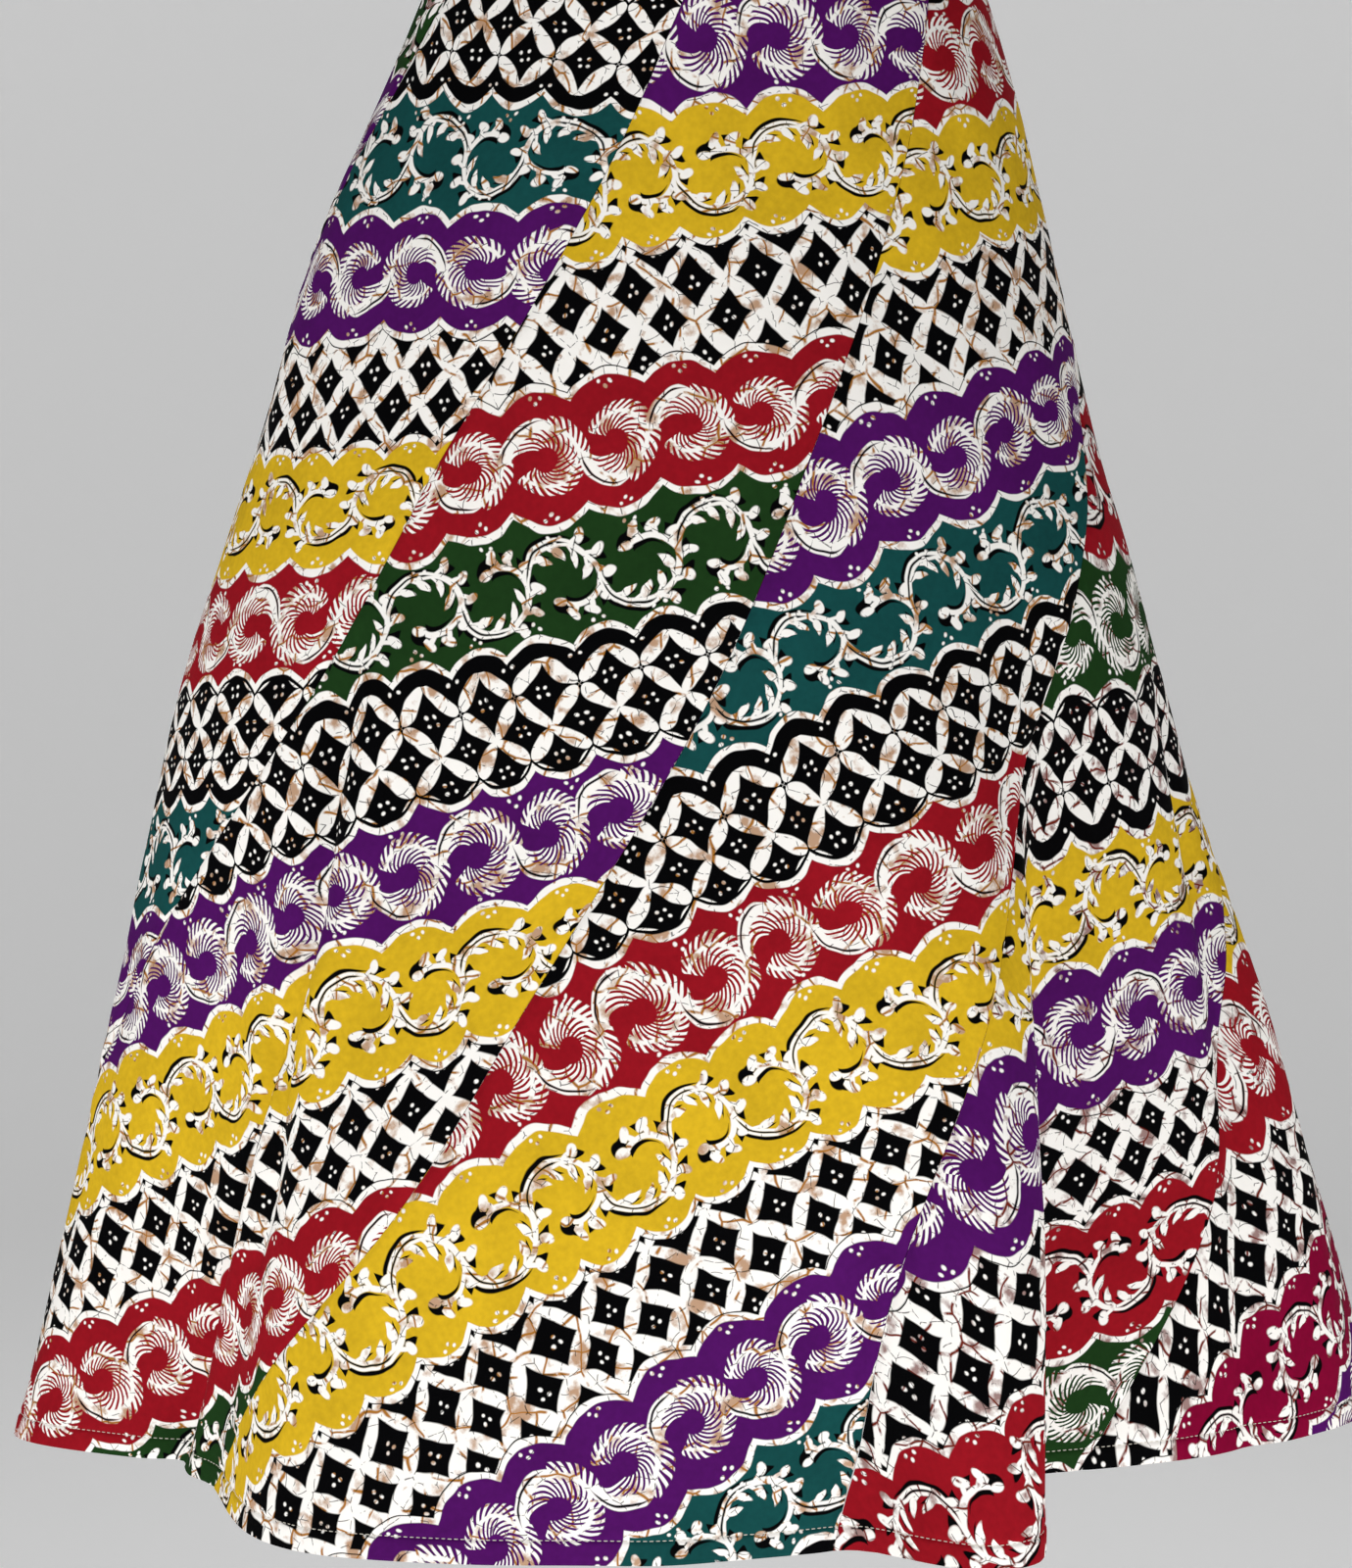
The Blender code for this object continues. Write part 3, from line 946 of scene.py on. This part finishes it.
def batik_cotton(name, dyes, turned, start, veins):
    """Cotton with the drawing at one place: turned is -1 for upside down, and under 1 draws it larger."""
    material, tree, shader = new_material(name)
    cloth_map = tree.nodes.new("ShaderNodeUVMap")
    cloth_map.uv_map = "cloth"
    place = cloth_map.outputs["UV"]
    hand = texture(tree, "ShaderNodeTexNoise", place, noise_dimensions="2D", Scale=62.0, Detail=1.0)
    drift = texture(tree, "ShaderNodeTexNoise", place, noise_dimensions="2D", Scale=16.0, Detail=0.0)
    parts, wander, slow = (tree.nodes.new("ShaderNodeSeparateXYZ") for _ in range(3))
    tree.links.new(place, parts.inputs[0])
    tree.links.new(hand.outputs["Color"], wander.inputs[0])
    tree.links.new(drift.outputs["Color"], slow.inputs[0])
    drawing = tree.nodes.new("ShaderNodeGroup")
    drawing.node_tree = DRAWING
    for axis in (0, 1):
        drawn = Drawn(parts.outputs[axis]) * (MILLIMETRES * turned)
        drawn = drawn + Drawn(wander.outputs[axis]) * HAND_WANDER + Drawn(slow.outputs[axis]) * SLOW_DRIFT
        middled = drawn + (start[axis] - (HAND_WANDER + SLOW_DRIFT) / 2)
        tree.links.new(middled.socket, drawing.inputs[axis])
    white, ink, kind = (Drawn(drawing.outputs[n]) for n in ("White", "Ink", "Kind"))
    cloudy = noise(tree, place, 24.0, 4.0)
    fine = noise(tree, place, 260.0, 3.0)
    ground = ground_dye(tree, kind, dyes)
    shaded = tree.nodes.new("ShaderNodeHueSaturation")
    tree.links.new(ground.socket, shaded.inputs["Color"])
    tree.links.new((cloudy * 0.36 + fine * 0.28 + 0.62).socket, shaded.inputs["Value"])
    bent = tree.nodes.new("ShaderNodeVectorMath")
    bent.operation = "MULTIPLY_ADD"
    bent.inputs[1].default_value = (0.007, 0.007, 0)
    tree.links.new(hand.outputs["Color"], bent.inputs[0])
    tree.links.new(place, bent.inputs[2])
    crack = cell_edges(tree, bent.outputs[0], CRACKS_A_METRE)
    vein = cell_edges(tree, bent.outputs[0], VEINS_A_METRE)
    stain = noise(tree, place, 75.0, 5.0)
    cracked = ramp(crack, 0.035, 0.012) * ramp(fine, 0.44, 0.52) * 0.8
    stained = ramp(stain, 0.56, 0.68) * 0.8
    stained = most(stained, ramp(vein, 0.06, 0.02) * ramp(stain, 0.42, 0.50))
    waxed = painted(tree, stained, WAX_WHITE, veins)
    waxed = painted(tree, cracked, waxed, INK)
    colour = painted(tree, white, painted(tree, ink, Drawn(shaded.outputs[0]), BLACK), waxed)
    tree.links.new(colour.socket, shader.inputs["Base Color"])
    warp, weft = (Drawn(parts.outputs[axis]) * (2 * np.pi / THREADS_APART) for axis in (0, 1))
    weave = worked("SINE", warp) * worked("SINE", weft) * 0.5 + fine
    bumped(tree, shader, weave, 0.35, 0.0002)
    tree.links.new((fine * 0.12 + 0.74).socket, shader.inputs["Roughness"])
    shader.inputs["Specular IOR Level"].default_value = 0.02
    return material


print("the dyes go in this order: flowers, vine, scroll, diamonds, vine, scroll")

# %% [markdown]
# ## The six gores
# Each gore is the ring form plus its creases, gathers and seam, on a fine grid. The columns of the
# table below say how its cloth was cut: -1 means upside down, a number under 1 means a printing in
# which the drawing came out larger, and the two starts slide the drawing along and across the bands.

# %% Cut of each gore
CUT = {
    "gore_1": ((BLACK, TEAL, PURPLE, BLACK, YELLOW, RED), 1, (-4.4, -70.9), BROWN),
    "gore_2": ((BLACK, GREEN, RED, BLACK, YELLOW, PURPLE), -1, (75.0, 63.4 + KINDS * BAND), BROWN),
    "gore_3": ((BLACK, TEAL, PURPLE, BLACK, YELLOW, RED), -1, (122.0, 57.3 + KINDS * BAND), BROWN),
    "gore_4": ((BLACK, YELLOW, PURPLE, BLACK, RED, GREEN), 0.927, (0, -49.9), DARK_BROWN),
    "gore_5": ((BLACK, YELLOW, RED, BLACK, CRIMSON, PURPLE), 1, (5, -101.9), DARK_BROWN),
    "gore_6": ((BLACK, GREEN, PURPLE, BLACK, YELLOW, RED), 1, (12, 20), DARK_BROWN),
}
CLOTH = 0.0008
HEM_CLOTH = 0.0018
ROWS = 158
CREASES_START = 0.02
ROWS_END = 0.018
HEM_ROWS = np.array(
    [0.0150, 0.0138, 0.0130, 0.0124, 0.0120, 0.0116, 0.0110, 0.0102, 0.0085, 0.0060, 0.0030, 0.0008, 0]
)


def gore_rows():
    """Heights of a gore's rows, with close ones at the hem's stitches."""
    return np.concatenate([np.linspace(WAIST_SEAM - SEAM_GAP, HEM + ROWS_END, ROWS), HEM + HEM_ROWS])


def make_gore(number):
    """One gore: the ring form, moved along its normals by creases, gathers, seams and the hem."""
    name = f"gore_{number}"
    heights = gore_rows()
    azimuth, to_seam = gore_azimuths(number, heights)
    height = np.broadcast_to(heights[:, None], azimuth.shape)
    form = ring_points(azimuth, height)
    radius = np.hypot(form[..., 0], form[..., 1])
    fade = np.clip(1 - (WAIST_SEAM - height) / GATHER_DROP, 0, 1) ** 1.5
    depth = crease_depth(azimuth, height, radius) + uneven_depth(azimuth, height)
    depth = depth * np.clip((WAIST_SEAM - height) / CREASES_START, 0, 1)
    depth = depth - gather_inset(azimuth) * fade + seam_depth(to_seam, height) + hem_depth(azimuth, height)
    outside = form + grid_normals(form) * depth[..., None]
    flat = laid_flat(number, form)
    thickness = np.where(heights < HEM + HEM_TURN, HEM_CLOTH, CLOTH)
    dyes, turned, start, veins = CUT[name]
    cotton = batik_cotton(name, dyes, turned, start, veins)
    piece = make_sheet(f"{name}_cloth", outside, thickness, flat, cotton)
    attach(piece, BODY)
    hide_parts(name)
    cut = cut_size(flat)
    flat_area(flat)
    print(name, "cut from", [round(side, 3) for side in cut], "m,", round(flat_area(flat), 4), "m2")
    return piece


gores = [make_gore(number) for number in range(1, GORES + 1)]

# %% [markdown]
# ## The waistband
# The band is the same cotton folded double, plain and smooth in front. At the back it holds elastic,
# so it is gathered, and rows of stitches hold the elastic in place, which leaves soft channels
# between them. It is made of the same rings, standing straight up.

# %% Plain cotton
BAND_PROUD = 0.0006
BAND_CLOTH = 0.0018
BAND_ROWS = 26
CHANNELS = 3
CHANNEL_SWELL = 0.0007
BAND_ROUNDING = 0.0009
BAND_WRINKLE = 0.0004


def clouded(tree, shader, colour, cloudy):
    """One colour on the shader, darker and lighter where the noise is low and high."""
    shaded = tree.nodes.new("ShaderNodeHueSaturation")
    shaded.inputs["Color"].default_value = colour
    tree.links.new((cloudy * 0.5 + 0.75).socket, shaded.inputs["Value"])
    tree.links.new(shaded.outputs[0], shader.inputs["Base Color"])


def plain_cotton(name, colour):
    """Cotton dyed one colour, a little cloudy, with the weave as a faint bump."""
    material, tree, shader = new_material(name)
    spot = tree.nodes.new("ShaderNodeTexCoord").outputs["Object"]
    cloudy = Drawn(texture(tree, "ShaderNodeTexNoise", spot, Scale=60.0, Detail=4.0).outputs[0])
    fine = Drawn(texture(tree, "ShaderNodeTexNoise", spot, Scale=900.0, Detail=2.0).outputs[0])
    clouded(tree, shader, colour, cloudy)
    bumped(tree, shader, fine, 0.4, 0.0003)
    tree.links.new((fine * 0.2 + 0.7).socket, shader.inputs["Roughness"])
    shader.inputs["Specular IOR Level"].default_value = 0.25
    shader.inputs["Sheen Weight"].default_value = 0.12
    return material


print("the band stands", WAISTBAND_HEIGHT, "m high")

# %% Make the waistband


def band_points(azimuth, height, swell):
    """Points of the band: the waist seam's ring, straight up, drawn in by gathers and out by a swell."""
    ring = ring_points(azimuth, WAIST_SEAM)
    angle = np.radians(azimuth)
    normal = np.stack([np.sin(angle), -np.cos(angle), np.zeros_like(angle)], axis=-1)
    points = ring + normal * (BAND_PROUD - gather_inset(azimuth))[:, None]
    lift = np.array([0, 0, 1.0]) * (height - WAIST_SEAM)[:, None, None]
    return points + lift + normal * swell[..., None]


def make_band(name, first, last, columns, swelling, material):
    """One half of the band: its folded top edge is rounded, and its channels swell between the stitches."""
    half_gap = np.degrees(SEAM_GAP / 2 / SECTIONS["half_width"][0])
    azimuth = np.linspace(first + half_gap, last - half_gap, columns + 1)
    up = np.linspace(1, 0, BAND_ROWS)
    height = WAIST_SEAM + WAISTBAND_HEIGHT * up
    rounded = -BAND_ROUNDING * (np.exp(-((1 - up) / 0.05) ** 2) + 0.7 * np.exp(-(up / 0.04) ** 2))
    swell = np.abs(np.sin(np.pi * CHANNELS * up))[:, None] * swelling
    wrinkle = BAND_WRINKLE * np.sin(np.radians(azimuth) * 31 + 5 * up[:, None]) * np.sin(np.pi * up)[:, None]
    outside = band_points(azimuth, height, rounded[:, None] + swell + wrinkle * (swelling == 0))
    along = np.concatenate([[0], np.cumsum(np.linalg.norm(np.diff(outside[0], axis=0), axis=1))])
    flat = np.stack(np.broadcast_arrays(along, (1 - up[:, None]) * WAISTBAND_HEIGHT), axis=-1)
    piece = make_sheet(f"{name}_cloth", outside, np.full(BAND_ROWS, BAND_CLOTH), flat, material)
    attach(piece, BODY)
    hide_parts(name)
    print(name, round(float(along[-1]), 3), "m along the cloth")
    return piece


BAND_COTTON = plain_cotton("waistband_cotton", dye(22, 22, 24))
band_front = make_band("waistband_front", -90, 90, 120, 0, BAND_COTTON)
band_back = make_band("waistband_back", 90, 270, GATHERS * 10, CHANNEL_SWELL, BAND_COTTON)

# %% [markdown]
# ## Stitches
# A line of machine stitches holds the hem and the bottom edge of the waistband, and two lines hold
# the elastic. A painted dotted line would do from afar. Small spindles of thread, sunk half into the
# cloth, also catch the light. One spindle is copied along each line, turned to the line's way.

# %% One stitch, copied along a line
STITCH = 0.0026
STITCH_GAP = 0.0007
THREAD = 0.00026
SPINDLE_SIDES = 5
SPINDLE_RINGS = np.array(
    [(-0.5, 0.35, -1.0), (-0.3, 0.95, 0.1), (0.0, 1.0, 0.35), (0.3, 0.95, 0.1), (0.5, 0.35, -1.0)]
)


def stitches(name, points, normals, material):
    """Spindles laid end to end along an open line of points, each sunk at its ends into the cloth."""
    steps = np.linalg.norm(np.diff(points, axis=0), axis=1)
    along = np.concatenate([[0], np.cumsum(steps)])
    count = int(along[-1] / (STITCH + STITCH_GAP))
    pitch = along[-1] / count

    def at(distance, values):
        return np.stack([np.interp(distance, along, values[:, axis]) for axis in range(3)], axis=-1)

    starts = (np.arange(count) + 0.5) * pitch
    way = at(starts + STITCH / 2, points) - at(starts - STITCH / 2, points)
    way /= np.linalg.norm(way, axis=1, keepdims=True)
    out = at(starts, normals)
    out -= way * (out * way).sum(axis=1, keepdims=True)
    out /= np.linalg.norm(out, axis=1, keepdims=True)
    side = np.cross(way, out)
    turn = np.arange(SPINDLE_SIDES) / SPINDLE_SIDES * 2 * np.pi
    length, fat, rise = (SPINDLE_RINGS[:, column, None] + 0 * turn for column in range(3))
    wide, tall = np.cos(turn) * fat * THREAD, (np.sin(turn) * fat + rise) * THREAD
    template = np.stack([length * STITCH, wide, tall], axis=-1).reshape(-1, 3)
    frames = np.stack([way, side, out], axis=1)
    placed = at(starts, points)[:, None] + np.einsum("pk,skx->spx", template, frames)
    ring = np.arange(SPINDLE_SIDES)
    turned_ring = np.roll(ring, -1)
    rings = np.arange(len(SPINDLE_RINGS) - 1)[:, None] * SPINDLE_SIDES
    here, beside = ring + rings, turned_ring + rings
    sides = np.stack([here, beside, beside + SPINDLE_SIDES, here + SPINDLE_SIDES], axis=-1).reshape(-1, 4)
    sides = (sides + np.arange(count)[:, None, None] * len(template)).reshape(-1, 4)
    first_end = ring[::-1] + np.arange(count)[:, None] * len(template)
    last_end = ring + len(template) - SPINDLE_SIDES + np.arange(count)[:, None] * len(template)
    faces = sides.tolist() + first_end.tolist() + last_end.tolist()
    mesh = bpy.data.meshes.new(name)
    mesh.from_pydata(placed.reshape(-1, 3), [], faces)
    mesh.shade_smooth()
    mesh.materials.append(material)
    line = bpy.data.objects.new(name, mesh)
    bpy.context.scene.collection.objects.link(line)
    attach(line, BODY)
    print(name, count, "stitches")
    return line


def thread_material(name, colour):
    """Pale cotton thread."""
    material, tree, shader = new_material(name)
    spot = tree.nodes.new("ShaderNodeTexCoord").outputs["Object"]
    twist = Drawn(texture(tree, "ShaderNodeTexNoise", spot, Scale=700.0, Detail=2.0).outputs[0])
    clouded(tree, shader, colour, twist)
    shader.inputs["Roughness"].default_value = 0.6
    return material


# %% Where the stitches run


def cloth_row(piece, rows, row):
    """(points, normals) of one row of a finished sheet. The normals run from the inside to the outside."""
    coordinates = np.empty(len(piece.data.vertices) * 3)
    piece.data.vertices.foreach_get("co", coordinates)
    grid = coordinates.reshape(2, rows, -1, 3)
    outward = grid[0, row] - grid[1, row]
    return grid[0, row], outward / np.linalg.norm(outward, axis=1, keepdims=True)


def gore_line(piece, height):
    """The row of a finished gore nearest a height."""
    heights = gore_rows()
    return cloth_row(piece, len(heights), int(np.argmin(abs(heights - height))))


def band_line(piece, up):
    """The row of a finished band at a share of its height."""
    return cloth_row(piece, BAND_ROWS, int(round((1 - up) * (BAND_ROWS - 1))))


PALE_THREAD = thread_material("pale_thread", dye(206, 200, 188))
DARK_THREAD = thread_material("dark_thread", dye(40, 40, 42))
for gore_number, gore in enumerate(gores, 1):
    stitches(f"hem_stitches_{gore_number}", *gore_line(gore, HEM + HEM_TURN), PALE_THREAD)
for band_name, band in (("front", band_front), ("back", band_back)):
    stitches(f"waist_seam_stitches_{band_name}", *band_line(band, 0.08), DARK_THREAD)
for channel in range(1, CHANNELS):
    stitches(f"channel_stitches_{channel}", *band_line(band_back, channel / CHANNELS), DARK_THREAD)

# %% [markdown]
# ## Floor and light
# The skirt hangs over a pale floor far below its hem. The floor is a round bowl that sweeps up into a
# wall on every side, so that no horizon shows from anywhere, and it glows a little, because paper that
# only the lamps reach would look grey. A large soft light stands in front on the left and a smaller one
# low on the right, so that the folds shade softly and the hem is the brightest. One from behind lifts
# the edge of the hem.

# %% Floor
FLOOR_HEIGHT = -1.60
SWEEP_START, SWEEP_RADIUS, SWEEP_TOP = 4.5, 2.5, 2.2
FLOOR_SIDES = 96
FLOOR_GLOW = 0.16
sweep = np.radians(np.linspace(0, 90, 19))
radius = np.concatenate([SWEEP_START + SWEEP_RADIUS * np.sin(sweep), [SWEEP_START + SWEEP_RADIUS]])
height = np.concatenate([FLOOR_HEIGHT + SWEEP_RADIUS * (1 - np.cos(sweep)), [SWEEP_TOP]])
turn = np.linspace(0, 2 * np.pi, FLOOR_SIDES, endpoint=False)
rings = [radius[:, None] * np.cos(turn), radius[:, None] * np.sin(turn), height[:, None] + turn * 0]
number = np.arange(radius.size * FLOOR_SIDES).reshape(radius.size, FLOOR_SIDES)
beside = np.roll(number, -1, axis=1)
walls = np.stack([number[:-1], number[1:], beside[1:], beside[:-1]], axis=-1).reshape(-1, 4)
floor_mesh = bpy.data.meshes.new("floor")
floor_mesh.from_pydata(np.stack(rings, axis=-1).reshape(-1, 3), [], [number[0].tolist(), *walls.tolist()])
floor_mesh.shade_smooth()
floor_paint, _, paper = new_material("floor_paint")
paper.inputs["Base Color"].default_value = dye(248, 248, 248)
paper.inputs["Roughness"].default_value = 0.9
paper.inputs["Emission Color"].default_value = (1, 1, 1, 1)
paper.inputs["Emission Strength"].default_value = FLOOR_GLOW
floor_mesh.materials.append(floor_paint)
ground = bpy.data.objects.new("floor", floor_mesh)
bpy.context.scene.collection.objects.link(ground)
print("floor at", FLOOR_HEIGHT, "m")

# %% Lights
LIGHTS = {
    "key_light": ((-1.6, -1.9, -0.85), 1.0, 38.0),
    "low_light": ((0.95, -1.0, -1.2), 0.6, 12.5),
    "back_light": ((0.3, 2.4, 1.0), 2.0, 16.0),
}
LIT_PLACE = (0, 0, -0.45)
ROOM_LIGHT = 0.21


def soft_light(name, place, size, power):
    """A square area light that faces the middle of the skirt."""
    data = bpy.data.lights.new(name, "AREA")
    data.size = size
    data.energy = power
    light = bpy.data.objects.new(name, data)
    light.location = place
    away = np.array(place) - LIT_PLACE
    tilt, turn = np.arctan2(np.hypot(away[0], away[1]), away[2]), np.arctan2(away[0], -away[1])
    light.rotation_euler = (tilt, 0, turn)
    bpy.context.scene.collection.objects.link(light)
    return light


lights = [soft_light(name, *settings) for name, settings in LIGHTS.items()]
world = bpy.data.worlds.new("studio")
world.use_nodes = True
world.node_tree.nodes["Background"].inputs["Color"].default_value = (1, 1, 1, 1)
world.node_tree.nodes["Background"].inputs["Strength"].default_value = ROOM_LIGHT
bpy.context.scene.world = world
bpy.context.scene.view_settings.view_transform = "Standard"
print(len(lights), "lights")
